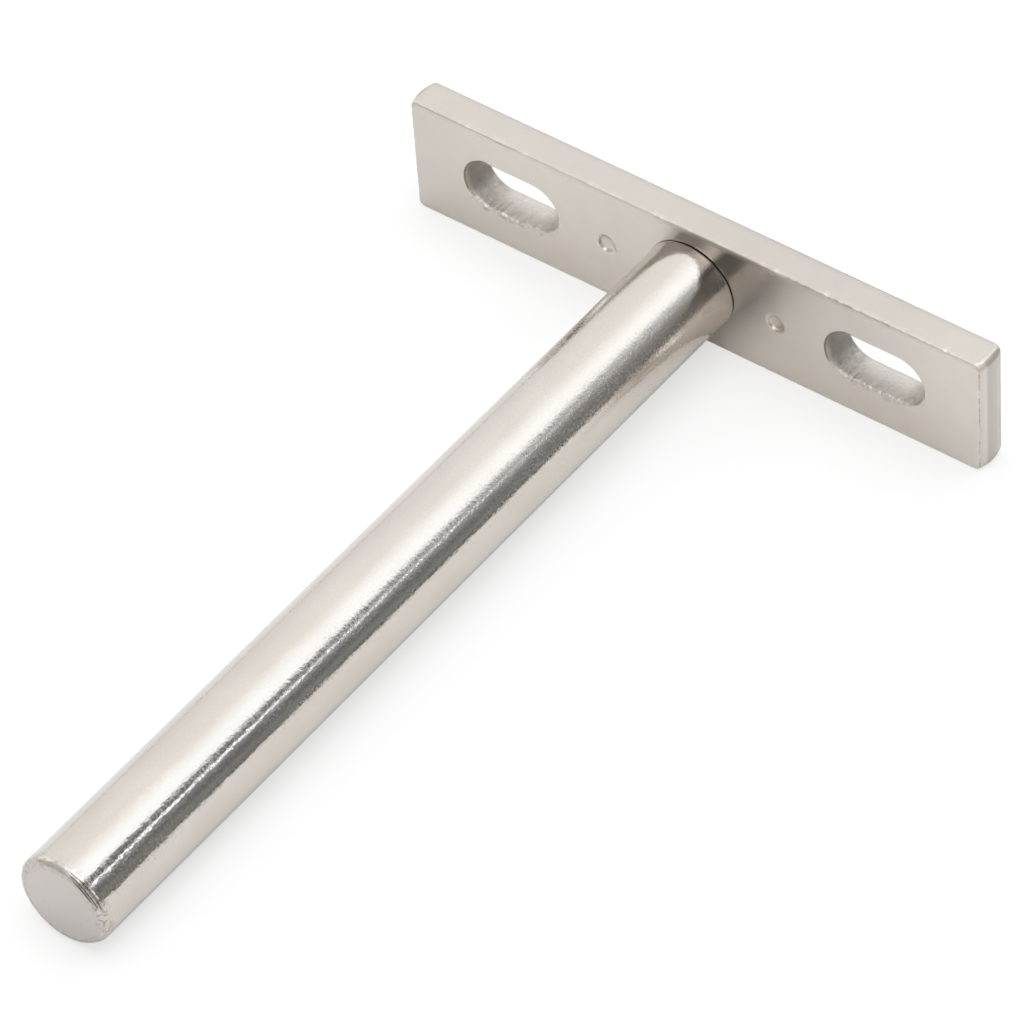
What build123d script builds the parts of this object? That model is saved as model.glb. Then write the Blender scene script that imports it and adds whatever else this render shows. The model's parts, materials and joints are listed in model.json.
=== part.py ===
from build123d import *
import os

# Floating shelf bracket: a flat steel back plate that is screwed to a wall through
# two slots, and a round steel rod riveted into the middle of the plate. The shelf
# has a deep hole in its back edge and is pushed onto the rod.
#
# Millimetres. The origin is the middle of the plate's back face, where it meets the
# wall. X runs along the plate, Y points into the wall and Z points up, so the rod
# points along -Y.

# Back plate, sheared from flat bar. Its ends are slightly crowned, as shearing and
# tumbling leave them, so its length over the crowns is a little more.
plate_length = 81.1
plate_end_crown = 0.45
plate_height = 16.7
plate_thickness = 4.4
plate_corner_radius = 0.8
plate_edge_radius = 0.2

# Screw slots, one on each side of the rod
slot_spacing = 52.2
slot_length = 13.2
slot_width = 7.0
slot_bevel = 0.5

# Punch marks: blind dimples in the plate's front, between the rod and the slots
mark_spacing = 24.2
mark_diameter = 2.8
mark_floor_diameter = 1.7
mark_depth = 0.45

# Rod, turned from round bar
rod_diameter = 12.0
rod_length = 115.6
rod_tip_radius = 0.9
rod_base_chamfer = 0.25

# Tenon of the rod, and the flared head that holds it in the plate's back
tenon_diameter = 8.0
tenon_clearance = 0.04
head_diameter = 10.6
head_flare = 1.3
head_recess = 0.15

# Sketch planes. Both look towards the room, so a length along their normal is a
# distance from the wall.
wall_plane = Plane.XZ
front_plane = wall_plane.offset(plate_thickness)

# Plane of the rod's half section: x is the radius, y the distance from the wall.
turning_plane = Plane(origin=(0, 0, 0), x_dir=(1, 0, 0), z_dir=(0, 0, -1))


def crowned_outline():
    """The plate seen from above: straight front and back, ends that bulge a little."""
    end = plate_length / 2
    crown = end + plate_end_crown
    middle = plate_thickness / 2
    return make_face(
        [
            Line((-end, 0), (end, 0)),
            ThreePointArc((end, 0), (crown, middle), (end, plate_thickness)),
            Line((end, plate_thickness), (-end, plate_thickness)),
            ThreePointArc((-end, plate_thickness), (-crown, middle), (-end, 0)),
        ]
    )


def plate_blank():
    """The flat bar cut to length, with rounded corners and all its edges broken."""
    blank = extrude(turning_plane * crowned_outline(), plate_height / 2, both=True)
    end_faces = blank.faces().sort_by(Axis.X)
    corners = end_faces[0].edges() + end_faces[-1].edges()
    blank = fillet(corners.filter_by(GeomType.CIRCLE), plate_corner_radius)
    broad_faces = blank.faces().sort_by(Axis.Y)
    return fillet(broad_faces[0].edges() + broad_faces[-1].edges(), plate_edge_radius)


def screw_slot(x):
    """Cutter for a slot right through the plate, with a bevelled front rim."""
    slot = Pos(x, 0) * SlotOverall(slot_length, slot_width)
    rim = Pos(x, 0) * SlotOverall(slot_length + 2 * slot_bevel, slot_width + 2 * slot_bevel)
    through = extrude(wall_plane * slot, plate_thickness)
    bevel = loft([front_plane.offset(-slot_bevel) * slot, front_plane * rim])
    return through + bevel


def punch_mark(x):
    """Cutter for a blind dimple with a sloping wall and a flat floor."""
    cone = Cone(mark_floor_diameter / 2, mark_diameter / 2, mark_depth)
    return front_plane * Pos(x, 0, -mark_depth / 2) * cone


def tenon_hole():
    """Cutter for the rod's hole, spun from the tenon's outline with its clearance."""
    hole_radius = tenon_diameter / 2 + tenon_clearance
    sink_radius = head_diameter / 2 + tenon_clearance
    section = Polyline(
        (0, 0),
        (sink_radius, 0),
        (sink_radius, head_recess),
        (hole_radius, head_recess + head_flare),
        (hole_radius, plate_thickness),
        (0, plate_thickness),
        close=True,
    )
    return revolve(turning_plane * make_face(section), Axis.Y)


def back_plate():
    """The plate with its tenon hole, slots and punch marks."""
    plate = plate_blank() - tenon_hole()
    for side in (-1, 1):
        plate -= screw_slot(side * slot_spacing / 2)
        plate -= punch_mark(side * mark_spacing / 2)
    return plate


def support_rod():
    """The rod and its tenon, turned in one piece, with the tenon's end riveted over."""
    radius = rod_diameter / 2
    tip = plate_thickness + rod_length
    tenon = Polyline(
        (0, tip),
        (0, head_recess),
        (head_diameter / 2, head_recess),
        (tenon_diameter / 2, head_recess + head_flare),
        (tenon_diameter / 2, plate_thickness),
        (radius - rod_base_chamfer, plate_thickness),
        (radius, plate_thickness + rod_base_chamfer),
        (radius, tip - rod_tip_radius),
    )
    rounding = RadiusArc(tenon @ 1, (radius - rod_tip_radius, tip), -rod_tip_radius)
    face = Line(rounding @ 1, tenon @ 0)
    return revolve(turning_plane * make_face([tenon, rounding, face]), Axis.Y)


def main():
    os.makedirs("parts", exist_ok=True)
    nodes = {"back_plate": back_plate(), "support_rod": support_rod()}
    for name, solid in nodes.items():
        export_step(solid, f"parts/{name}.step")


main()
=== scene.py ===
import json
import math
import bmesh
import bpy
from mathutils import Matrix, Vector, noise
from mathutils.geometry import delaunay_2d_cdt


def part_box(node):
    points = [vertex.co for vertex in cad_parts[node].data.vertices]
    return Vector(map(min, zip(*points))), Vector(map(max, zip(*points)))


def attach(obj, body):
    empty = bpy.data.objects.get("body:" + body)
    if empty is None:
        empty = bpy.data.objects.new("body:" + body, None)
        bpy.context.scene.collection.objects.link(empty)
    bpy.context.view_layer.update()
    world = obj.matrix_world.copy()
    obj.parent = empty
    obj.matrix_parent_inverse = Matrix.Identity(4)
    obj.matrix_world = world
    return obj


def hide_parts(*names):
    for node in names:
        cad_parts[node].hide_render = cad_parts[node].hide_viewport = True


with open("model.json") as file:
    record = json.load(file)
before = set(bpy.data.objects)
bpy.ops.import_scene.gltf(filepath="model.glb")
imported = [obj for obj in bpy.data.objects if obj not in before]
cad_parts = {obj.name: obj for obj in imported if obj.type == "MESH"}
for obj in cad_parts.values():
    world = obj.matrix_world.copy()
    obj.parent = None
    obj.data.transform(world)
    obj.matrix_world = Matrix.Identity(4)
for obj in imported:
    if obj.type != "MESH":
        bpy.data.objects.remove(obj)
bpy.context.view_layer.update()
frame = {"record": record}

# Floating shelf bracket: a nickel-plated steel wall plate with two screw slots, and a
# bright round rod riveted into its middle. Metres; X along the plate, Y into the wall,
# Z up, and the rod along -Y.

MM = 0.001
TURN = 2 * math.pi
QUARTER = math.pi / 2

# Sizes that the frame gives
plate_low, plate_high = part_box("back_plate")
rod_low, rod_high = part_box("support_rod")
mounts = {mount["name"]: mount for mount in frame["record"]["mounts"]}
slot_dims = mounts["screw_slots"]["dims"]
FRONT = plate_low.y
BACK = plate_high.y
THICKNESS = BACK - FRONT
MIDDLE_Y = (FRONT + BACK) / 2
HALF_HEIGHT = plate_high.z
ROD_RADIUS = rod_high.x
ROD_TIP = rod_low.y
HEAD_FACE = rod_high.y
SLOT_PLACE = slot_dims["spacing_x_mm"] / 2 * MM
SLOT_HALF_WIDTH = slot_dims["hole_r_mm"] * MM
SLOT_HALF_LENGTH = slot_dims["slot_length_mm"] / 2 * MM
SLOT_STRAIGHT = SLOT_HALF_LENGTH - SLOT_HALF_WIDTH

# Sizes of the small forms, as on the solids
END_CROWN = 0.45 * MM
CORNER_RADIUS = 0.8 * MM
EDGE_RADIUS = 0.2 * MM
HALF_LENGTH = plate_high.x - END_CROWN
SLOT_BEVEL = 0.5 * MM
MARK_PLACE = 12.1 * MM
MARK_RADIUS = 1.4 * MM
MARK_FLOOR_RADIUS = 0.85 * MM
MARK_DEPTH = 0.45 * MM
TIP_RADIUS = 0.9 * MM
BASE_CHAMFER = 0.25 * MM
TENON_RADIUS = 4.0 * MM
HEAD_RADIUS = 5.3 * MM
HEAD_FLARE = 1.3 * MM
TENON_CLEARANCE = 0.04 * MM

# Sizes of the forms that are too small for the solids
NICK_DEPTH = 0.2 * MM
BURR_HEIGHT = 0.24 * MM
BASE_SWELL = 0.12 * MM
SWELL_LENGTH = 2.4 * MM
TIP_WEAR = 0.55 * MM
TIP_WEAR_SIDE = math.radians(-32)
CRIMP_DEPTH = 0.07 * MM
CRIMP_SIDE = math.radians(48)
CRIMP_REACH = math.radians(24)
CRIMP_SHARES = (0.3, 0.5, 0.74)
CRIMP_WIDTH = 0.06

# How finely the outlines are divided: the plate's long and short sides and its corners,
# a slot's sides and ends, a punch mark, the tenon's hole and the rod
LONG_STEPS = 380
SHORT_STEPS = 90
CORNER_STEPS = 10
SLOT_SIDE_STEPS = 64
SLOT_END_STEPS = 56
MARK_STEPS = 64
HOLE_STEPS = 96
ROD_STEPS = 320

# Finish
NICKEL = (0.66, 0.62, 0.57, 1.0)
NICKEL_BROWN = (0.645, 0.6, 0.55, 1.0)
SATIN = (0.73, 0.675, 0.615, 1.0)
SATIN_PALE = (0.72, 0.68, 0.625, 1.0)
WARM = (0.7, 0.65, 0.56, 1.0)
DULL_GREY = (0.45, 0.42, 0.45, 1.0)
# Colour of the painted light on the slots' walls
WALL_LIGHT_TONE = (0.8, 0.765, 0.71, 1.0)
# Grime, and also the colour of painted shade in the rod's seam and the tip's crimp grooves
GRIME_AND_SHADE = (0.2, 0.17, 0.14, 1.0)
# Tarnish, and also the colour of the painted shade on the plate
TARNISH_AND_SHADE = (0.4, 0.37, 0.335, 1.0)
WHITE = (1.0, 1.0, 1.0, 1.0)

# How far parts of the plate are darkened with painted shade. These shares match one view
# and stand for light that fell on the plate; 0 in all of them gives plain plating.
SHADE_TOP = 0.22
SHADE_ENDS = 0.2
SHADE_LEFTWARDS = 0.2
SHADE_FAR_LEFT = 0.25
SHADE_BY_ROD = 1.0


def wobble(x, y, z, size, seed=0.0):
    """Smooth noise from -1 to 1 whose lumps are about size across."""
    return noise.noise(Vector((x / size + seed, y / size - seed, z / size + 2 * seed)))


def mix(a, b, t):
    return a + (b - a) * t


# Mesh building


class Shell:
    """Collects points and faces of one closed mesh."""

    def __init__(self):
        self.points = []
        self.faces = []

    def loop(self, points):
        """Adds a ring of points and returns their numbers."""
        start = len(self.points)
        self.points.extend(points)
        return list(range(start, len(self.points)))

    def band(self, one, other):
        """Joins two rings of as many points with a band of quads."""
        count = len(one)
        for i in range(count):
            j = (i + 1) % count
            self.faces.append((one[i], one[j], other[j], other[i]))

    def bands(self, rings):
        """Joins each ring to the next and returns the rings' numbers."""
        loops = [self.loop(ring) for ring in rings]
        for one, other in zip(loops, loops[1:]):
            self.band(one, other)
        return loops

    def fan(self, ring, centre):
        """Closes a ring onto one point."""
        hub = self.loop([centre])[0]
        count = len(ring)
        for i in range(count):
            self.faces.append((ring[i], ring[(i + 1) % count], hub))

    def flat(self, outline, holes, inner_points):
        """Fills the flat region between an outline and its holes, seen along Y."""
        rings = [outline] + holes
        numbers = [number for ring in rings for number in ring]
        flat_points = [Vector((self.points[n][0], self.points[n][2])) for n in numbers]
        edges = []
        start = 0
        for ring in rings:
            edges += [(start + i, start + (i + 1) % len(ring)) for i in range(len(ring))]
            start += len(ring)
        numbers += self.loop(inner_points)
        flat_points += [Vector((p[0], p[2])) for p in inner_points]
        found = delaunay_2d_cdt(flat_points, edges, [], 1, 1e-9)
        hole_shapes = [[self.points[n] for n in ring] for ring in holes]
        for face in found[2]:
            corners = [numbers[found[3][v][0]] for v in face]
            middle_x = sum(self.points[c][0] for c in corners) / 3
            middle_z = sum(self.points[c][2] for c in corners) / 3
            if not any(inside(middle_x, middle_z, shape) for shape in hole_shapes):
                self.faces.append(tuple(corners))

    def piece(self, name):
        """Makes the object, with all faces smooth and facing out."""
        mesh = bpy.data.meshes.new(name)
        mesh.from_pydata([tuple(p) for p in self.points], [], self.faces)
        mesh.update()
        made = bpy.data.objects.new(name, mesh)
        bpy.context.scene.collection.objects.link(made)
        turn_outwards(mesh)
        mesh.shade_smooth()
        return made


def turn_outwards(mesh):
    """Gives every face of a closed mesh a normal that points out of it."""
    work = bmesh.new()
    work.from_mesh(mesh)
    bmesh.ops.recalc_face_normals(work, faces=work.faces)
    work.to_mesh(mesh)
    work.free()


def inside(x, z, shape):
    """True if a point lies inside a closed outline, both seen along Y."""
    hit = False
    for (x0, _, z0), (x1, _, z1) in zip(shape, shape[1:] + shape[:1]):
        if (z0 > z) != (z1 > z) and x < (x1 - x0) * (z - z0) / (z1 - z0) + x0:
            hit = not hit
    return hit


# Back plate


def arc(centre_x, centre_z, radius, start, sweep, steps):
    """Points of an arc, without its last one."""
    angles = [start + sweep * i / steps for i in range(steps)]
    return [(centre_x + radius * math.cos(a), centre_z + radius * math.sin(a)) for a in angles]


def side(x0, z0, x1, z1, steps):
    """Points of a straight side, without its last one."""
    return [(mix(x0, x1, i / steps), mix(z0, z1, i / steps)) for i in range(steps)]


def nick(x, y, z):
    """How far the plate's arris is worn in at a place: mostly none, with small nicks."""
    fine = max(0.0, wobble(x, y, z, 0.55 * MM, 4.0) - 0.12)
    broad = max(0.0, wobble(x, y, z, 2.4 * MM, 8.0) - 0.25)
    return NICK_DEPTH * (fine + broad)


def plate_ring(inset, y, worn=0.0):
    """The plate's outline at one depth, moved in by inset; its ends are crowned."""
    depth = (y - MIDDLE_Y) / (THICKNESS / 2)
    half_x = HALF_LENGTH + END_CROWN * (1 - depth * depth) - inset
    half_z = HALF_HEIGHT - inset
    radius = CORNER_RADIUS - inset
    flat_x = half_x - radius
    flat_z = half_z - radius
    outline = side(-flat_x, -half_z, flat_x, -half_z, LONG_STEPS)
    outline += arc(flat_x, -flat_z, radius, -QUARTER, QUARTER, CORNER_STEPS)
    outline += side(half_x, -flat_z, half_x, flat_z, SHORT_STEPS)
    outline += arc(flat_x, flat_z, radius, 0, QUARTER, CORNER_STEPS)
    outline += side(flat_x, half_z, -flat_x, half_z, LONG_STEPS)
    outline += arc(-flat_x, flat_z, radius, QUARTER, QUARTER, CORNER_STEPS)
    outline += side(-half_x, flat_z, -half_x, -flat_z, SHORT_STEPS)
    outline += arc(-flat_x, -flat_z, radius, 2 * QUARTER, QUARTER, CORNER_STEPS)
    ring = []
    for x, z in outline:
        keep = 1 - worn * nick(x, y, z) / HALF_HEIGHT
        shift = x - math.copysign(HALF_HEIGHT, x)
        inner_x = shift + math.copysign(HALF_HEIGHT, x) * keep
        ring.append((inner_x if abs(x) > HALF_LENGTH - HALF_HEIGHT else x, y, z * keep))
    return ring


def plate_edge_stations():
    """Inset and depth of each ring round the plate's edge, from the front to the back."""
    steps = 8
    support = 0.06 * MM
    bends = [QUARTER * i / steps for i in range(steps + 1)]
    front = [(EDGE_RADIUS * (1 - math.sin(a)), EDGE_RADIUS * (1 - math.cos(a))) for a in bends]
    stations = [(EDGE_RADIUS + support, 0)] + front
    wall_steps = 6
    for i in range(1, wall_steps):
        stations.append((0, mix(EDGE_RADIUS, THICKNESS - EDGE_RADIUS, i / wall_steps)))
    stations += [(inset, THICKNESS - depth) for inset, depth in reversed(front)]
    stations.append((EDGE_RADIUS + support, THICKNESS))
    return stations


def slot_outline(centre, form):
    """A ring round a slot; form gives how far out and how deep each point lies."""
    points = []
    for way in (1, -1):
        reach = way * SLOT_STRAIGHT
        height = -way * SLOT_HALF_WIDTH
        for x, z in side(-reach, height, reach, height, SLOT_SIDE_STEPS):
            points.append((x, z, 0, -way))
        for x, z in arc(0, 0, 1, -way * QUARTER, 2 * QUARTER, SLOT_END_STEPS):
            points.append((reach + SLOT_HALF_WIDTH * x, SLOT_HALF_WIDTH * z, x, z))
    ring = []
    for x, z, nx, nz in points:
        out, y = form(x, z, nx, nz)
        ring.append((centre + x + nx * out, y, z + nz * out))
    return ring


def lip_edges(x, z, nx, nz, seed):
    """How far out a slot's broken rim starts and ends. At the bottom it is narrow, ragged
    and pushed into the opening; at the left end it has its full width."""
    low = max(0.0, -nz) ** 2
    ragged = (0.05 + 0.2 * low) * wobble(x, 0, z, 1.6 * MM, seed)
    ragged += (0.05 + 0.22 * low) * wobble(x, 0, z, 0.45 * MM, seed)
    outer = 0.8 + 0.2 * max(0.0, -nx) - 0.7 * low - 0.1 * max(0.0, nx) + ragged
    pushed = -0.5 + 0.5 * wobble(x, 4, z, 1.3 * MM, seed)
    inner = low * (pushed + 0.3 * wobble(x, 4, z, 0.5 * MM, seed))
    return SLOT_BEVEL * min(inner, outer - 0.1), SLOT_BEVEL * outer


def lip_depth(nx, nz):
    """How deep a slot's broken rim reaches: twice as deep at the left end, and least at
    the bottom."""
    return SLOT_BEVEL * (1 + max(0.0, -nx) - 0.3 * max(0.0, -nz))


def slot_rings(centre, seed):
    """A slot's rings from the plate's front to its back: ragged rim, wall, back rim."""

    def rim(level, depth, proud):
        def form(x, z, nx, nz):
            inner, outer = lip_edges(x, z, nx, nz, seed)
            low = max(0.0, -nz) ** 2
            lump = wobble(x, 1, z, 0.55 * MM, seed) + 0.6 * wobble(x, 1, z, 0.24 * MM, seed)
            burr = proud * BURR_HEIGHT * low * max(0.0, lump - 0.05)
            return mix(inner, outer, level), FRONT + depth * lip_depth(nx, nz) - burr

        return form

    def wall(share):
        def form(x, z, nx, nz):
            inner = lip_edges(x, z, nx, nz, seed)[0]
            uneven = 0.035 * MM * wobble(x, 9 * MM * share, z, 0.6 * MM, seed)
            depth = mix(1.12 * lip_depth(nx, nz), THICKNESS - back_break, share)
            return inner * (1 - share) ** 2 + uneven, FRONT + depth

        return form

    def back_rim(out, height):
        return lambda x, z, nx, nz: (out, BACK - height)

    bevel = [
        (1.12, 0, 0),
        (1.0, 0.005, 0.3),
        (0.92, 0.03, 0.8),
        (0.78, 0.1, 1.0),
        (0.58, 0.24, 0.9),
        (0.38, 0.42, 0.5),
        (0.18, 0.66, 0.2),
        (0.05, 0.9, 0),
    ]
    back_break = 0.2 * MM
    steps = 12
    forms = [rim(*station) for station in bevel]
    forms += [wall(i / steps) for i in range(steps + 1)]
    for out, height in ((0.03, 0.1), (0.1, 0.03), (0.2, 0), (0.28, 0)):
        forms.append(back_rim(out * MM, height * MM))
    return [slot_outline(centre, form) for form in forms]


def circle(x, y, z, radius, count):
    """A ring round the Y direction."""
    return [
        (x + radius * math.cos(TURN * i / count), y, z + radius * math.sin(TURN * i / count))
        for i in range(count)
    ]


def punch_mark(shell, centre, size):
    """A blind dimple in the front, out of round, steep at the lower left and shallow at
    the upper right; returns its rim."""
    radius = MARK_RADIUS * size
    floor = MARK_FLOOR_RADIUS * size
    profile = [
        (radius + 0.2 * MM, 0),
        (radius + 0.1 * MM, 0.003 * MM),
        (radius, 0.02 * MM),
        (radius - 0.12 * MM, 0.07 * MM),
        (mix(radius, floor, 0.45), MARK_DEPTH * 0.34),
        (mix(radius, floor, 0.75), MARK_DEPTH * 0.66),
        (floor, MARK_DEPTH * 0.86),
        (floor * 0.8, MARK_DEPTH * 0.95),
        (floor * 0.5, MARK_DEPTH),
    ]
    rings = []
    for around, depth in profile:
        ring = []
        for x, y, z in circle(0, FRONT + depth, 0, around, MARK_STEPS):
            steep = max(0.0, -(x + z) / (around * math.sqrt(2)))
            shallow = max(0.0, (x + z) / (around * math.sqrt(2)))
            keep = 1 + 0.14 * wobble(x, 0, z, 1.1 * MM, centre)
            keep += 0.06 * wobble(x, y, z, 0.4 * MM, centre)
            keep += 0.85 * steep * steep * min(1.0, depth / MARK_DEPTH) * (radius - floor) / floor
            y -= 0.8 * shallow * depth * min(1.0, (around - 0.5 * floor) / floor)
            ring.append((centre + x * keep, y, z * keep))
        rings.append(ring)
    loops = shell.bands(rings)
    shell.fan(loops[-1], (centre, FRONT + MARK_DEPTH, 0))
    return loops[0]


def tenon_hole(shell):
    """The hole and countersink in the plate's middle; returns its front and back rims."""
    hole = TENON_RADIUS + TENON_CLEARANCE
    mouth = HEAD_RADIUS + TENON_CLEARANCE
    stations = [
        (hole, FRONT),
        (hole, HEAD_FACE - HEAD_FLARE),
        (mouth, HEAD_FACE),
        (mouth, BACK - 0.03 * MM),
        (mouth + 0.03 * MM, BACK),
        (mouth + 0.1 * MM, BACK),
    ]
    loops = shell.bands([circle(0, y, 0, radius, HOLE_STEPS) for radius, y in stations])
    return loops[0], loops[-1]


def face_points(y, keep_clear, uneven):
    """A grid of points inside a broad face, clear of its edge, slots, marks and hole."""
    step = 1.0 * MM
    points = []
    count_x = int(HALF_LENGTH / step)
    count_z = int(HALF_HEIGHT / step)
    margin = 0.35 * MM
    for i in range(-count_x, count_x + 1):
        for j in range(-count_z, count_z + 1):
            x = i * step
            z = j * step
            to_edge = min(HALF_LENGTH - abs(x), HALF_HEIGHT - abs(z))
            if to_edge < EDGE_RADIUS + margin or any(blocked(x, z) for blocked in keep_clear):
                continue
            points.append((x, y + uneven * wobble(x, y, z, 9 * MM, 3.0), z))
    return points


def near_slot(centre, margin):
    """A test for places within margin of a slot."""

    def blocked(x, z):
        along = max(0.0, abs(x - centre) - SLOT_STRAIGHT)
        return math.hypot(along, z) < SLOT_HALF_WIDTH + margin

    return blocked


def near_circle(centre, radius):
    """A test for places within radius of a point on the plate's long axis."""

    def blocked(x, z):
        return math.hypot(x - centre, z) < radius

    return blocked


def make_plate():
    shell = Shell()
    edge_rings = []
    for inset, depth in plate_edge_stations():
        on_arris = max(0.0, 1 - depth / (2 * EDGE_RADIUS)) if inset < EDGE_RADIUS else 0.0
        edge_rings.append(plate_ring(inset, FRONT + depth, on_arris))
    edge = shell.bands(edge_rings)
    left = shell.bands(slot_rings(-SLOT_PLACE, 1.7))
    right = shell.bands(slot_rings(SLOT_PLACE, 5.3))
    marks = [punch_mark(shell, -MARK_PLACE, 1.0), punch_mark(shell, MARK_PLACE, 0.9)]
    hole_front, hole_back = tenon_hole(shell)
    clear = [near_slot(place, 1.1 * MM) for place in (-SLOT_PLACE, SLOT_PLACE)]
    mark_clearance = MARK_RADIUS + 0.4 * MM
    clear_marks = [near_circle(place, mark_clearance) for place in (-MARK_PLACE, MARK_PLACE)]
    front_clear = clear + clear_marks + [near_circle(0, TENON_RADIUS + 0.4 * MM)]
    back_clear = clear + [near_circle(0, HEAD_RADIUS + 0.5 * MM)]
    front_points = face_points(FRONT, front_clear, 0.004 * MM)
    back_points = face_points(BACK, back_clear, 0)
    shell.flat(edge[0], [left[0], right[0], hole_front] + marks, front_points)
    shell.flat(edge[-1], [left[-1], right[-1], hole_back], back_points)
    return shell.piece("plated_back_plate")


# Support rod


def tip_radius(angle):
    """Radius of the tip's rounding, which is worn larger on the lower right."""
    return TIP_RADIUS + TIP_WEAR * max(0.0, math.cos(angle - TIP_WEAR_SIDE)) ** 2


def crimp(share, angle):
    """Depth of the fine crimp lines across the tip's rounding, on its upper right only."""
    off = abs(math.remainder(angle - CRIMP_SIDE, TURN)) / CRIMP_REACH
    if off >= 1:
        return 0.0
    lines = sum(math.exp(-(((share - place) / CRIMP_WIDTH) ** 2)) for place in CRIMP_SHARES)
    return CRIMP_DEPTH * lines * (1 - off * off) ** 2


def dent(side_x, y, side_z):
    """How far the surface is knocked in at a place: mostly none, with small dents."""
    coarse = wobble(side_x * ROD_RADIUS, y * 2, side_z * ROD_RADIUS, 0.9 * MM, 9.0)
    fine = wobble(side_x * ROD_RADIUS, y * 2, side_z * ROD_RADIUS, 0.34 * MM, 2.0)
    return max(0.0, coarse + 0.6 * fine - 0.1)


def rod_ring(form, rough=0.0):
    """A ring of the rod; form gives the radius and the depth at each angle."""
    points = []
    for i in range(ROD_STEPS):
        angle = TURN * i / ROD_STEPS
        x = math.cos(angle)
        z = math.sin(angle)
        radius, y = form(angle)
        if rough > 0:
            radius -= rough * dent(x, y, z)
        points.append((x * radius, y, z * radius))
    return points


def tip_rings():
    """The end face and its rounded rim."""

    def face(share):
        return lambda angle: (share * (ROD_RADIUS - tip_radius(angle)), ROD_TIP)

    def rounding(share):
        def form(angle):
            around = tip_radius(angle)
            kept = around - crimp(share, angle)
            bend = QUARTER * share
            radius = ROD_RADIUS - around + kept * math.sin(bend)
            return radius, ROD_TIP + around - kept * math.cos(bend)

        return form

    rings = [rod_ring(face(share)) for share in (0.12, 0.3, 0.48, 0.64, 0.8, 0.92, 0.98)]
    steps = 60
    for i in range(steps + 1):
        share = i / steps
        rough = 0.09 * MM * max(0.0, 1 - abs(share - 0.45) / 0.55)
        rings.append(rod_ring(rounding(share), rough))
    return rings


def even_ring(radius, y, rough=0.0):
    return rod_ring(lambda angle: (radius, y), rough)


def make_rod():
    shell = Shell()
    rings = tip_rings()
    shank_start = ROD_TIP + 1.1 * (TIP_RADIUS + TIP_WEAR)
    swell_start = FRONT - SWELL_LENGTH
    shank_steps = 56
    for i in range(shank_steps + 1):
        rings.append(even_ring(ROD_RADIUS, mix(shank_start, swell_start, i / shank_steps)))
    chamfer_start = FRONT - 0.6 * BASE_CHAMFER
    swell_steps = 12
    for i in range(1, swell_steps + 1):
        share = i / swell_steps
        radius = ROD_RADIUS + BASE_SWELL * share * share
        rings.append(even_ring(radius, mix(swell_start, chamfer_start, share), 0.006 * MM * share))
    rings.append(even_ring(ROD_RADIUS + 0.4 * BASE_SWELL, FRONT - 0.4 * BASE_CHAMFER))
    rings.append(even_ring(ROD_RADIUS - 0.4 * BASE_CHAMFER, FRONT))
    rings.append(even_ring(TENON_RADIUS, FRONT))
    rings.append(even_ring(TENON_RADIUS, HEAD_FACE - HEAD_FLARE))
    rings.append(even_ring(HEAD_RADIUS, HEAD_FACE - 0.05 * MM))
    rings.append(even_ring(HEAD_RADIUS - 0.05 * MM, HEAD_FACE - 0.01 * MM))
    for share in (0.96, 0.9, 0.7, 0.45, 0.2):
        rings.append(even_ring(HEAD_RADIUS * share, HEAD_FACE))
    loops = shell.bands(rings)
    shell.fan(loops[0], (0, ROD_TIP, 0))
    shell.fan(loops[-1], (0, HEAD_FACE, 0))
    return shell.piece("plated_support_rod")


# Materials


class Graph:
    """Adds nodes to a material or world and links them."""

    def __init__(self, tree):
        self.tree = tree
        tree.nodes.clear()

    def node(self, kind, inputs=None, **settings):
        made = self.tree.nodes.new(kind)
        for name, value in settings.items():
            setattr(made, name, value)
        for name, value in (inputs or {}).items():
            self.put(made.inputs[name], value)
        return made

    def put(self, socket, value):
        if isinstance(value, bpy.types.NodeSocket):
            self.tree.links.new(value, socket)
        else:
            socket.default_value = value

    def math(self, operation, *values, clamp=False):
        made = self.node("ShaderNodeMath", operation=operation, use_clamp=clamp)
        for socket, value in zip(made.inputs, values):
            self.put(socket, value)
        return made.outputs[0]

    def vector(self, operation, *values):
        made = self.node("ShaderNodeVectorMath", operation=operation)
        for socket, value in zip(made.inputs, values):
            self.put(socket, value)
        single = operation in ("DOT_PRODUCT", "LENGTH", "DISTANCE")
        return made.outputs["Value" if single else "Vector"]

    def noise(self, vector, scale, detail=2.0, roughness=0.5):
        inputs = {"Vector": vector, "Scale": scale, "Detail": detail, "Roughness": roughness}
        return self.node("ShaderNodeTexNoise", inputs).outputs["Fac"]

    def ease(self, value, low, high, to_low=0.0, to_high=1.0):
        """Takes value from low..high to to_low..to_high, with a smooth start and end."""
        made = self.node("ShaderNodeMapRange", interpolation_type="SMOOTHSTEP")
        for socket, number in zip(made.inputs, (value, low, high, to_low, to_high)):
            self.put(socket, number)
        return made.outputs[0]

    def colour(self, factor, one, other):
        """Colour between one and other."""
        made = self.node("ShaderNodeMix", data_type="RGBA")
        self.put(made.inputs["Factor"], factor)
        self.put(made.inputs[6], one)
        self.put(made.inputs[7], other)
        return made.outputs[2]

    def line(self, value, place, half_width):
        """1 where value is at place, and 0 from half_width away."""
        off = self.math("ABSOLUTE", self.math("SUBTRACT", value, place))
        return self.ease(off, half_width, 0.4 * half_width)

    def relief(self, pattern, share):
        """A pattern of noise centred on nothing, so that its share can fade without a step."""
        return self.math("MULTIPLY", self.math("SUBTRACT", pattern, 0.5), share)

    def bump(self, height, distance, normal=None):
        inputs = {"Height": height, "Distance": distance, "Strength": 1.0}
        if normal is not None:
            inputs["Normal"] = normal
        return self.node("ShaderNodeBump", inputs).outputs["Normal"]


def place_on_object(graph):
    """Object coordinates in metres, and their three parts."""
    spot = graph.node("ShaderNodeTexCoord").outputs["Object"]
    parts = graph.node("ShaderNodeSeparateXYZ", {"Vector": spot}).outputs
    return spot, parts["X"], parts["Y"], parts["Z"]


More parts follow.
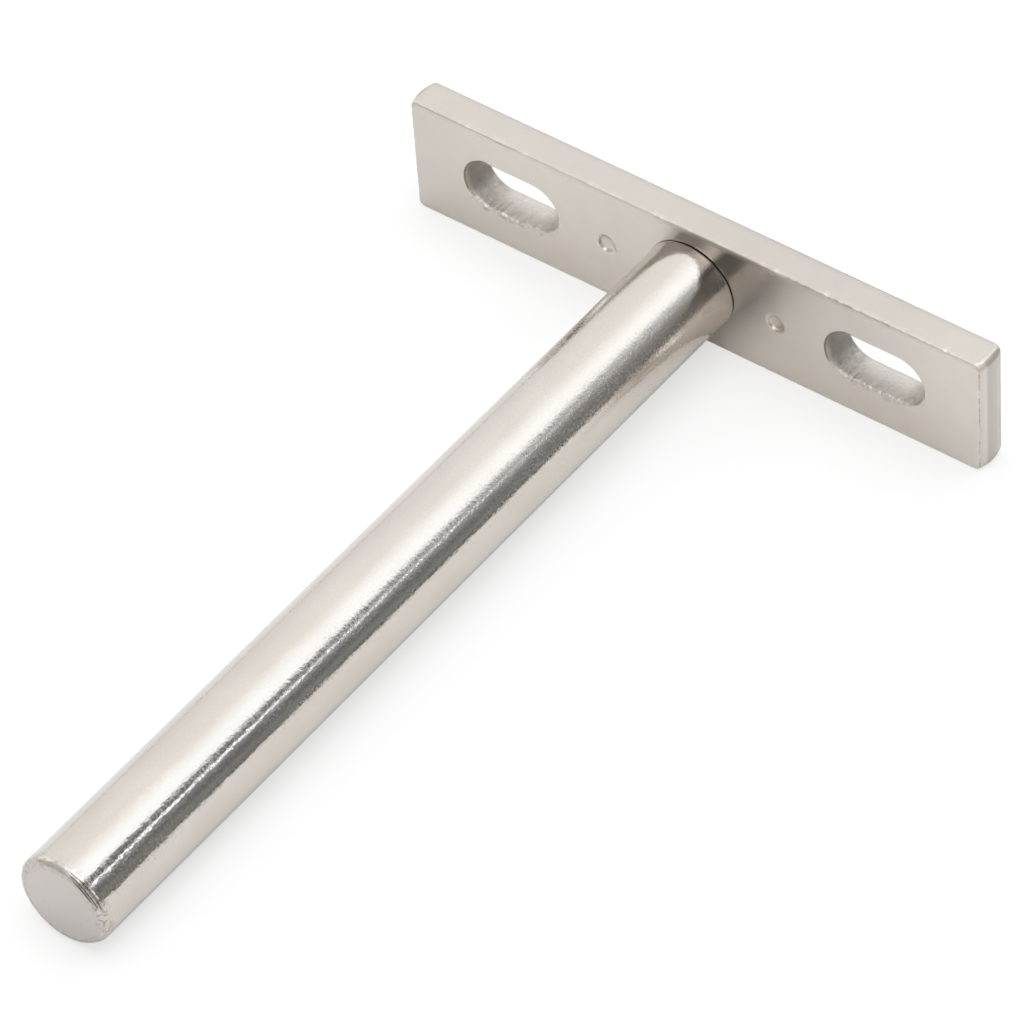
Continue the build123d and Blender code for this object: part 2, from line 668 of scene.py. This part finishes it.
def metal(name, build):
    """A metal whose colour, roughness and normal come from build."""
    material = bpy.data.materials.new(name)
    material.use_nodes = True
    graph = Graph(material.node_tree)
    colour, roughness, normal = build(graph)
    shader = graph.node(
        "ShaderNodeBsdfPrincipled",
        {"Base Color": colour, "Metallic": 1.0, "Roughness": roughness, "Normal": normal},
    )
    graph.node("ShaderNodeOutputMaterial", {"Surface": shader.outputs["BSDF"]})
    return material


def bright_nickel(graph):
    """Polished plating over a finely pebbled bar, with lumps that grow towards the tip and
    pebbles that grow towards the base and fade at the seam."""
    spot, x, y, z = place_on_object(graph)
    tip_share = graph.ease(y, ROD_TIP + 45 * MM, ROD_TIP + 2 * MM)
    pebbles = graph.noise(graph.vector("MULTIPLY", spot, (3000.0, 2500.0, 3000.0)), 1.0, 2.0, 0.55)
    near_seam = graph.ease(y, FRONT - 11 * MM, FRONT - 3 * MM, 1.0, 0.5)
    coarse = graph.ease(y, ROD_TIP + 20 * MM, ROD_TIP + 80 * MM, 1.0, 1.45)
    pebbles = graph.relief(pebbles, graph.math("MULTIPLY", coarse, near_seam))
    lumps = graph.noise(graph.vector("MULTIPLY", spot, (1000.0, 600.0, 1000.0)), 1.0, 2.0)
    lump_relief = graph.relief(lumps, graph.math("MULTIPLY_ADD", tip_share, 0.6, 0.5))
    waves = graph.noise(graph.vector("MULTIPLY", spot, (260.0, 120.0, 260.0)), 1.0, 2.0)
    normal = graph.bump(waves, 0.03 * MM)
    normal = graph.bump(lump_relief, 0.022 * MM, normal)
    normal = graph.bump(pebbles, 0.0105 * MM, normal)
    # Painted shade in the seam at the rod's base
    seam = graph.ease(y, FRONT - BASE_CHAMFER * 0.6, FRONT - BASE_CHAMFER * 0.35)
    seam = graph.math("MULTIPLY", seam, graph.ease(y, FRONT + 0.5 * MM, FRONT + 0.2 * MM))
    rim = graph.ease(y, ROD_TIP + 2.0 * MM, ROD_TIP + 0.5 * MM)
    from_axis = graph.vector("LENGTH", graph.vector("MULTIPLY", spot, (1.0, 0.0, 1.0)))
    rim = graph.math("MULTIPLY", rim, graph.ease(from_axis, 0.76 * ROD_RADIUS, 0.85 * ROD_RADIUS))
    specks = graph.ease(graph.noise(spot, 1900.0, 3.0, 0.6), 0.42, 0.68)
    tone = graph.ease(waves, 0.35, 0.65)
    colour = graph.colour(tone, NICKEL, NICKEL_BROWN)
    fine = graph.ease(graph.noise(spot, 3300.0, 1.0), 0.3, 0.7)
    colour = graph.colour(graph.math("MULTIPLY", fine, 0.03), colour, TARNISH_AND_SHADE)
    specks = graph.math("MULTIPLY", rim, specks)
    colour = graph.colour(graph.math("MULTIPLY", specks, 0.75), colour, TARNISH_AND_SHADE)
    face = graph.ease(y, ROD_TIP + 0.3 * MM, ROD_TIP + 0.1 * MM, 0, 0.3)
    colour = graph.colour(face, colour, DULL_GREY)
    upper_right = graph.vector("DOT_PRODUCT", spot, (0.67, 0.0, 0.74))
    # Painted shade in the three crimp grooves on the upper right of the tip's rounding
    places = [ROD_TIP + TIP_RADIUS * (1 - math.cos(QUARTER * share)) for share in CRIMP_SHARES]
    lines = graph.line(y, places[0], 0.09 * MM)
    for place in places[1:]:
        lines = graph.math("ADD", graph.line(y, place, 0.09 * MM), lines)
    on_upper_right = graph.ease(upper_right, 0.84 * ROD_RADIUS, 0.9 * ROD_RADIUS)
    lines = graph.math("MULTIPLY", lines, on_upper_right)
    colour = graph.colour(lines, colour, GRIME_AND_SHADE)
    right = graph.vector("DOT_PRODUCT", spot, (0.97, 0.0, 0.24))
    stains = graph.ease(graph.noise(spot, 1900.0, 3.0, 0.6), 0.48, 0.62, 0, 0.5)
    stains = graph.math("MULTIPLY", stains, graph.ease(right, 0.8 * ROD_RADIUS, 0.92 * ROD_RADIUS))
    colour = graph.colour(graph.math("MULTIPLY", rim, stains), colour, GRIME_AND_SHADE)
    colour = graph.colour(seam, colour, GRIME_AND_SHADE)
    hammered = graph.ease(y, HEAD_FACE - 0.1 * MM, HEAD_FACE - 0.03 * MM)
    blows = graph.ease(lumps, 0.35, 0.65, 0.1, 0.5)
    colour = graph.colour(graph.math("MULTIPLY", hammered, blows), colour, TARNISH_AND_SHADE)

    # Fine duller spots, some of them in long patches, lighten what the rod reflects darkly
    patches = graph.noise(graph.vector("MULTIPLY", spot, (700.0, 90.0, 700.0)), 1.0, 2.0)
    spots = graph.ease(graph.noise(spot, 3300.0, 1.0), 0.3, 0.75, 0, 1)
    spots = graph.math("MULTIPLY", spots, graph.ease(patches, 0.3, 0.7, 0.1, 0.23))
    roughness = graph.ease(y, ROD_TIP + 60 * MM, FRONT - 15 * MM, 0.06, 0.1)
    roughness = graph.math("MULTIPLY_ADD", spots, near_seam, roughness)
    dull = graph.ease(upper_right, 0.96 * ROD_RADIUS, 0.9 * ROD_RADIUS, 0.05, 0.22)
    roughness = graph.math("MULTIPLY_ADD", rim, dull, roughness)
    roughness = graph.math("MULTIPLY_ADD", hammered, 0.2, roughness)
    return colour, roughness, normal


def near(graph, value, place, reach):
    """1 where the size of value is close to place, and 0 from reach away."""
    off = graph.math("SUBTRACT", place, graph.math("ABSOLUTE", value))
    return graph.ease(off, reach, 0.4 * reach)


def arris_mask(graph, x, y, z, reach):
    """1 within reach of the plate's long and short arrises."""
    near_x = near(graph, x, plate_high.x, reach)
    near_y = near(graph, graph.math("SUBTRACT", y, MIDDLE_Y), THICKNESS / 2, reach)
    near_z = near(graph, z, HALF_HEIGHT, reach)
    arris = graph.math("MULTIPLY", near_x, near_z)
    arris = graph.math("MULTIPLY_ADD", near_y, near_z, arris)
    return graph.math("MULTIPLY_ADD", near_x, near_y, arris, clamp=True)


def satin_nickel(graph):
    """Duller plating over a slightly uneven plate; its sheared edges and punched walls are
    rougher and darker, partly by painted shade, and painted shade sits in the rod's seam."""
    spot, x, y, z = place_on_object(graph)

    # The slots: x measured from the nearer one's middle, their walls and their rims
    along = graph.math("MULTIPLY", graph.math("SIGN", x), SLOT_PLACE)
    along = graph.math("SUBTRACT", x, along)
    beyond = graph.math("SUBTRACT", graph.math("ABSOLUTE", along), SLOT_STRAIGHT)
    beyond = graph.math("MAXIMUM", beyond, 0.0)
    across = graph.node("ShaderNodeCombineXYZ", {"X": beyond, "Y": z}).outputs[0]
    outside = graph.math("SUBTRACT", graph.vector("LENGTH", across), SLOT_HALF_WIDTH)
    wall = graph.ease(outside, 0.16 * MM, 0.04 * MM)
    wall = graph.math("MULTIPLY", wall, graph.ease(y, FRONT + 0.12 * MM, FRONT + 0.4 * MM))
    off_back = graph.ease(y, BACK - 0.1 * MM, BACK - 0.3 * MM)
    lip = graph.math("MULTIPLY", graph.ease(outside, 0.62 * MM, 0.5 * MM), off_back)
    left_end = graph.ease(along, 0.4 * MM - SLOT_STRAIGHT, -SLOT_STRAIGHT - 1.4 * MM)
    upper_left = graph.ease(z, -0.7 * SLOT_HALF_WIDTH, -0.4 * SLOT_HALF_WIDTH)
    upper_left = graph.math("MULTIPLY", left_end, upper_left)
    right_end = graph.ease(along, SLOT_STRAIGHT - 0.8 * MM, SLOT_STRAIGHT + 1.6 * MM)
    low = graph.ease(z, 0.0, -0.8 * SLOT_HALF_WIDTH)
    rim_line = graph.math("MULTIPLY", graph.line(outside, 0.48 * MM, 0.16 * MM), off_back)
    inwards = graph.ease(y, FRONT + 0.6 * MM, BACK - 0.9 * MM)

    arris = arris_mask(graph, x, y, z, 0.9 * MM)
    thin_arris = arris_mask(graph, x, y, z, 0.3 * MM)
    end = graph.ease(graph.math("ABSOLUTE", x), HALF_LENGTH - 0.15 * MM, HALF_LENGTH)
    end_back_shade = graph.ease(y, MIDDLE_Y - 1.3 * MM, MIDDLE_Y - 0.8 * MM)
    end_back_shade = graph.math("MULTIPLY", end, end_back_shade)
    from_mark = graph.math("SUBTRACT", graph.math("ABSOLUTE", x), MARK_PLACE)
    from_mark = graph.node("ShaderNodeCombineXYZ", {"X": from_mark, "Y": z}).outputs[0]
    from_mark = graph.vector("LENGTH", from_mark)
    mark = graph.ease(from_mark, MARK_RADIUS + 0.1 * MM, MARK_RADIUS - 0.1 * MM)
    mark = graph.math("MULTIPLY", mark, off_back)

    peel = graph.noise(spot, 900.0, 3.0, 0.55)
    grain = graph.noise(graph.vector("MULTIPLY", spot, (1500.0, 6000.0, 6000.0)), 1.0, 2.0)
    sheared = graph.noise(graph.vector("MULTIPLY", spot, (1300.0, 1000.0, 1300.0)), 1.0, 4.0, 0.6)
    torn = graph.noise(spot, 2400.0, 3.0, 0.6)
    normal = graph.bump(peel, 0.004 * MM)
    normal = graph.bump(grain, 0.0006 * MM, normal)
    normal = graph.bump(graph.relief(sheared, wall), 0.06 * MM, normal)
    ragged_lip = graph.math("MULTIPLY", lip, graph.math("MULTIPLY_ADD", low, 0.8, 0.2))
    normal = graph.bump(graph.relief(torn, ragged_lip), 0.15 * MM, normal)
    normal = graph.bump(graph.relief(torn, arris), 0.03 * MM, normal)
    normal = graph.bump(graph.relief(torn, mark), 0.035 * MM, normal)

    tint = graph.ease(graph.noise(spot, 230.0, 3.0), 0.35, 0.65)
    colour = graph.colour(tint, SATIN, SATIN_PALE)
    blotch = graph.ease(graph.noise(spot, 420.0, 3.0, 0.6), 0.3, 0.75, 0, 0.08)
    colour = graph.colour(blotch, colour, TARNISH_AND_SHADE)
    # Painted shade: the top face is darker
    top = graph.ease(z, HALF_HEIGHT - 0.12 * MM, HALF_HEIGHT, 0, SHADE_TOP)
    colour = graph.colour(top, colour, TARNISH_AND_SHADE)

    # Painted shade: darkening from the right end to the left one
    on_front = graph.ease(y, FRONT + 0.3 * MM, FRONT + 0.1 * MM)
    leftward_shade = graph.ease(x, 41 * MM, 24 * MM, 0, SHADE_LEFTWARDS)
    leftward_shade = graph.math("MULTIPLY", leftward_shade, graph.ease(x, 6 * MM, -6 * MM, 1.0, 0.6))
    leftward_shade = graph.math("MULTIPLY", leftward_shade, graph.ease(z, -2 * MM, -6 * MM, 1.0, 0.5))
    colour = graph.colour(leftward_shade, colour, TARNISH_AND_SHADE)
    far_left_shade = graph.ease(x, -24 * MM, -42 * MM, 0, SHADE_FAR_LEFT)
    far_left_shade = graph.math("MULTIPLY", far_left_shade, on_front)
    colour = graph.colour(far_left_shade, colour, TARNISH_AND_SHADE)
    colour = graph.colour(graph.math("MULTIPLY", mark, 0.6), colour, WARM)

    # Painted shade: darker above and right of the rod
    from_rod = graph.vector("DISTANCE", spot, (4.5 * MM, FRONT, 6.0 * MM))
    rod_shade = graph.ease(from_rod, 10 * MM, 3 * MM, 0, SHADE_BY_ROD)
    colour = graph.colour(graph.math("MULTIPLY", rod_shade, on_front), colour, TARNISH_AND_SHADE)

    # Walls: painted shade on their ends and front, and a floor painted lighter towards the back
    wall_shade = graph.math("SUBTRACT", 1.0, graph.math("MULTIPLY_ADD", inwards, 0.5, 0.66))
    wall_shade = graph.math("MAXIMUM", wall_shade, graph.math("MULTIPLY", left_end, 0.85))
    wall_shade = graph.math("MAXIMUM", wall_shade, graph.math("MULTIPLY", right_end, 0.75))
    wall_shade = graph.math("MULTIPLY", wall_shade, graph.ease(sheared, 0.3, 0.7, 1.0, 0.5))
    painted_wall_light = graph.math("MULTIPLY", graph.math("MULTIPLY", wall, inwards), 0.55)
    colour = graph.colour(painted_wall_light, colour, WALL_LIGHT_TONE)
    colour = graph.colour(graph.math("MULTIPLY", wall, wall_shade), colour, TARNISH_AND_SHADE)
    crescent = graph.math("MULTIPLY", lip, upper_left)
    colour = graph.colour(graph.math("MULTIPLY", crescent, 0.7), colour, TARNISH_AND_SHADE)
    rim_line = graph.math("MULTIPLY", rim_line, upper_left)
    colour = graph.colour(graph.math("MULTIPLY", rim_line, 0.8), colour, GRIME_AND_SHADE)
    # Painted shade on the end faces, deeper towards their back
    colour = graph.colour(graph.math("MULTIPLY", end, SHADE_ENDS), colour, TARNISH_AND_SHADE)
    colour = graph.colour(graph.math("MULTIPLY", end_back_shade, 0.65), colour, TARNISH_AND_SHADE)
    worn = graph.ease(graph.noise(spot, 1500.0, 2.0), 0.45, 0.6, 0, 0.6)
    worn = graph.math("MULTIPLY", worn, graph.ease(x, 2 * MM, 14 * MM, 0.1, 1.0))
    worn = graph.math("MULTIPLY", worn, graph.ease(x, 34 * MM, 26 * MM))
    colour = graph.colour(graph.math("MULTIPLY", worn, thin_arris), colour, TARNISH_AND_SHADE)
    end_arris = near(graph, x, HALF_LENGTH, 0.16 * MM)
    near_front = near(graph, graph.math("SUBTRACT", y, MIDDLE_Y), THICKNESS / 2, 0.16 * MM)
    end_arris = graph.math("MULTIPLY", end_arris, near_front)
    dashes = graph.ease(graph.noise(spot, 1300.0, 3.0, 0.6), 0.36, 0.6, 0, 0.6)
    colour = graph.colour(graph.math("MULTIPLY", end_arris, dashes), colour, GRIME_AND_SHADE)
    from_axis = graph.vector("LENGTH", graph.vector("MULTIPLY", spot, (1.0, 0.0, 1.0)))
    # Painted shade in the seam round the rod
    seam = graph.ease(from_axis, ROD_RADIUS + 0.05 * MM, ROD_RADIUS - 0.05 * MM)
    colour = graph.colour(graph.math("MULTIPLY", seam, on_front), colour, GRIME_AND_SHADE)
    roughness = graph.ease(graph.noise(spot, 120.0, 3.0), 0.3, 0.7, 0.2, 0.26)
    roughness = graph.math("MULTIPLY_ADD", arris, 0.18, roughness)
    roughness = graph.math("MULTIPLY_ADD", crescent, 0.2, roughness)
    top_end = near(graph, x, plate_high.x, 1.2 * MM)
    top_end = graph.math("MULTIPLY", top_end, near(graph, z, HALF_HEIGHT, 1.2 * MM))
    roughness = graph.math("MULTIPLY_ADD", top_end, 0.25, roughness)
    roughness = graph.math("MULTIPLY_ADD", lip, 0.06, roughness)
    roughness = graph.math("MULTIPLY_ADD", mark, 0.12, roughness)
    roughness = graph.math("MULTIPLY_ADD", wall, 0.24, roughness)
    return colour, roughness, normal


# Floor, light and camera

FLOOR_HALF = 3.0
FLOOR_GREY = (0.8, 0.8, 0.8, 1.0)
FLOOR_FAINT = (0.35, 0.35, 0.35, 1.0)
FLOOR_GLOW = 0.05
FLOOR_WHITE = 0.62
FLOOR_SLOPE = (ROD_RADIUS - HALF_HEIGHT) / (ROD_TIP + TIP_RADIUS - FRONT - EDGE_RADIUS)


def make_floor():
    """A wide pale floor under the plate's lower edge and the rod's tip."""
    rest_y = FRONT + EDGE_RADIUS
    corners = [(-1, -1), (1, -1), (1, 1), (-1, 1)]
    points = []
    for sx, sy in corners:
        y = sy * FLOOR_HALF
        points.append((sx * FLOOR_HALF, y, -HALF_HEIGHT - FLOOR_SLOPE * (y - rest_y)))
    mesh = bpy.data.meshes.new("studio_floor")
    mesh.from_pydata(points, [], [(0, 1, 2, 3)])
    floor = bpy.data.objects.new("studio_floor", mesh)
    bpy.context.scene.collection.objects.link(floor)
    mesh.materials.append(floor_material())
    return floor


def floor_material():
    """White for the camera and in reflections, yet it keeps the bracket's shadow."""
    material = bpy.data.materials.new("studio_floor")
    material.use_nodes = True
    graph = Graph(material.node_tree)
    rays = graph.node("ShaderNodeLightPath").outputs
    mirrored = graph.math("ADD", rays["Is Glossy Ray"], rays["Is Transmission Ray"], clamp=True)
    plain = graph.node("ShaderNodeBsdfDiffuse", {"Color": FLOOR_GREY}).outputs[0]
    glow = graph.node("ShaderNodeEmission", {"Strength": FLOOR_GLOW}).outputs[0]
    reflected = graph.node("ShaderNodeAddShader", {0: plain, 1: glow}).outputs[0]
    faint = graph.node("ShaderNodeBsdfDiffuse", {"Color": FLOOR_FAINT}).outputs[0]
    white = graph.node("ShaderNodeEmission", {"Strength": FLOOR_WHITE}).outputs[0]
    seen = graph.node("ShaderNodeAddShader", {0: faint, 1: white}).outputs[0]
    other = graph.node("ShaderNodeMixShader", {0: mirrored, 1: plain, 2: reflected}).outputs[0]
    shader = graph.node("ShaderNodeMixShader", {0: rays["Is Camera Ray"], 1: other, 2: seen})
    graph.node("ShaderNodeOutputMaterial", {"Surface": shader.outputs[0]})
    return material


# The studio: a white sweep behind and to the left, a long soft light overhead that runs
# along the rod, a slim lit gap at the right, and a dark room on the camera's side.
DARK_ROOM = 0.265
HORIZON_DARK = 0.17
SWEEP_BACK = 1.175
SWEEP_FRONT = 0.65
SWEEP_END = 0.8
SWEEP_DUSK = 0.2
CORNER_DARK = 0.1
OVERHEAD_LIGHT = 1.56
CENTRE_LIGHT = 1.3
LEFT_LIGHT = 0.6
LEFT_LIGHT_WAY = (-0.87, 0.02, 0.49)
RIGHT_LIGHT = 1.06
RIGHT_LIGHT_WAY = (0.87, -0.02, 0.49)
CLUTTER = 0.35
COOL = (0.965, 1.02, 1.09, 1.0)
EDGE_HEIGHT = math.radians(56.5)
EDGE_SOFT_TIP = math.radians(3.0)
EDGE_SOFT_BASE = math.radians(8.5)
EDGE_SOFT_SEAM = math.radians(6.0)
EDGE_SHIFT = math.radians(5.0)
GAP_LIGHT = 2.6
GAP_HEIGHT = math.radians(41.2)
GAP_HALF_WIDTH = math.radians(1.7)
GLEAM_LIGHT = 0.5
GLEAM_LOW = math.radians(25)
GLEAM_HIGH = math.radians(58)


def make_world():
    world = bpy.data.worlds.new("studio")
    bpy.context.scene.world = world
    world.use_nodes = True
    graph = Graph(world.node_tree)
    way = graph.node("ShaderNodeTexCoord").outputs["Generated"]
    parts = graph.node("ShaderNodeSeparateXYZ", {"Vector": way}).outputs
    x, y, z = parts["X"], parts["Y"], parts["Z"]
    up = graph.math("ARCTAN2", z, x)
    height = graph.math("MAXIMUM", z, 0.02)
    over_x = graph.math("DIVIDE", x, height)
    over_y = graph.math("DIVIDE", y, height)

    # Dark room, with the lit gap and a gleam towards the back
    off_gap = graph.math("ABSOLUTE", graph.math("SUBTRACT", up, GAP_HEIGHT))
    gap = graph.ease(off_gap, GAP_HALF_WIDTH * 1.25, GAP_HALF_WIDTH * 0.75, 0, GAP_LIGHT)
    gap_ends = graph.math("MULTIPLY", graph.ease(y, 0.3, 0.4), graph.ease(y, 0.555, 0.47))
    gleam = graph.ease(up, GLEAM_LOW, GLEAM_HIGH, 0, GLEAM_LIGHT)
    room = graph.ease(z, 0.12, 0.0, DARK_ROOM, DARK_ROOM - HORIZON_DARK)
    clutter = graph.ease(graph.noise(way, 9.0, 2.0), 0.3, 0.7, 1 - CLUTTER, 1 + CLUTTER)
    room = graph.math("MULTIPLY", room, clutter)
    room = graph.math("MULTIPLY_ADD", gap, gap_ends, room)
    room = graph.math("MULTIPLY_ADD", gleam, graph.ease(y, 0.49, 0.56), room)
    corner = graph.math("MULTIPLY", graph.ease(up, 0.74, 0.8), graph.ease(y, 0.53, 0.49))
    room = graph.math("MULTIPLY_ADD", corner, -CORNER_DARK, room)

    # Sweep, and the light over it
    sweep = graph.ease(y, -0.5, 0.35, SWEEP_FRONT, SWEEP_BACK)
    dusk = graph.ease(up, math.radians(115), math.radians(190), 0, -SWEEP_DUSK)
    sweep = graph.math("ADD", sweep, dusk)
    sweep = graph.math("ADD", sweep, graph.ease(y, 0.64, 0.85, 0, -SWEEP_END))
    overhead = graph.ease(over_x, -0.45, 0.32)
    above_sweep = graph.math("SUBTRACT", OVERHEAD_LIGHT, sweep)
    lit = graph.math("MULTIPLY_ADD", overhead, above_sweep, sweep)
    centre = graph.ease(graph.math("ABSOLUTE", over_y), 0.45, 0.3, 0, CENTRE_LIGHT)
    lit = graph.math("MULTIPLY_ADD", graph.ease(over_x, -0.35, -0.15), centre, lit)
    left_window = graph.vector("DOT_PRODUCT", way, LEFT_LIGHT_WAY)
    lit = graph.math("ADD", lit, graph.ease(left_window, 0.92, 0.97, 0, LEFT_LIGHT))

    edge = graph.ease(y, 0.47, 0.53, EDGE_HEIGHT + EDGE_SHIFT / 2, EDGE_HEIGHT - EDGE_SHIFT / 2)
    over_edge = graph.math("SUBTRACT", up, edge)
    soft = graph.ease(y, 0.5, 0.56, EDGE_SOFT_TIP, EDGE_SOFT_BASE)
    soft = graph.math("ADD", soft, graph.ease(y, 0.558, 0.574, 0, EDGE_SOFT_SEAM))
    share = graph.ease(graph.math("DIVIDE", over_edge, soft), -1.0, 1.0)
    light = graph.math("MULTIPLY_ADD", share, graph.math("SUBTRACT", lit, room), room)
    right_window = graph.vector("DOT_PRODUCT", way, RIGHT_LIGHT_WAY)
    light = graph.math("ADD", light, graph.ease(right_window, 0.92, 0.97, 0, RIGHT_LIGHT))

    # The light near the long edge is a little cooler than the rest
    cool = graph.math("MULTIPLY", graph.ease(up, 0.2, 0.6), graph.ease(up, 1.8, 1.3))
    cool = graph.math("MULTIPLY", cool, graph.ease(y, 0.3, 0.42))
    cool = graph.math("MULTIPLY", cool, graph.ease(y, 0.58, 0.5, 0.4, 1.0))
    tone = graph.colour(cool, WHITE, COOL)
    studio = graph.node("ShaderNodeBackground", {"Color": tone, "Strength": light})
    white = graph.node("ShaderNodeBackground", {"Color": WHITE, "Strength": 1.0})
    seen = graph.node("ShaderNodeLightPath").outputs["Is Camera Ray"]
    inputs = {0: seen, 1: studio.outputs[0], 2: white.outputs[0]}
    shader = graph.node("ShaderNodeMixShader", inputs)
    graph.node("ShaderNodeOutputWorld", {"Surface": shader.outputs[0]})


CAMERA_PLACE = Vector((0.351215, -0.457009, 0.548564))
CAMERA_RIGHT = Vector((0.798654, 0.599284, -0.054869))
CAMERA_UP = Vector((-0.398657, 0.595166, 0.697746))
CAMERA_LENS = 239.05


def make_camera():
    data = bpy.data.cameras.new("camera")
    data.lens = CAMERA_LENS
    data.sensor_width = 36
    data.clip_start = 0.01
    camera = bpy.data.objects.new("camera", data)
    back = CAMERA_RIGHT.cross(CAMERA_UP)
    turn = Matrix((CAMERA_RIGHT, CAMERA_UP, back)).transposed().to_4x4()
    camera.matrix_world = Matrix.Translation(CAMERA_PLACE) @ turn
    bpy.context.scene.collection.objects.link(camera)
    bpy.context.scene.camera = camera


def dress(piece, node, material):
    """Puts a finished piece in the place of its solid."""
    piece.data.materials.append(material)
    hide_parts(node)
    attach(piece, "root")


make_camera()
make_world()
make_floor()
dress(make_plate(), "back_plate", metal("satin_nickel", satin_nickel))
dress(make_rod(), "support_rod", metal("bright_nickel", bright_nickel))
bpy.context.scene.view_settings.view_transform = "Standard"
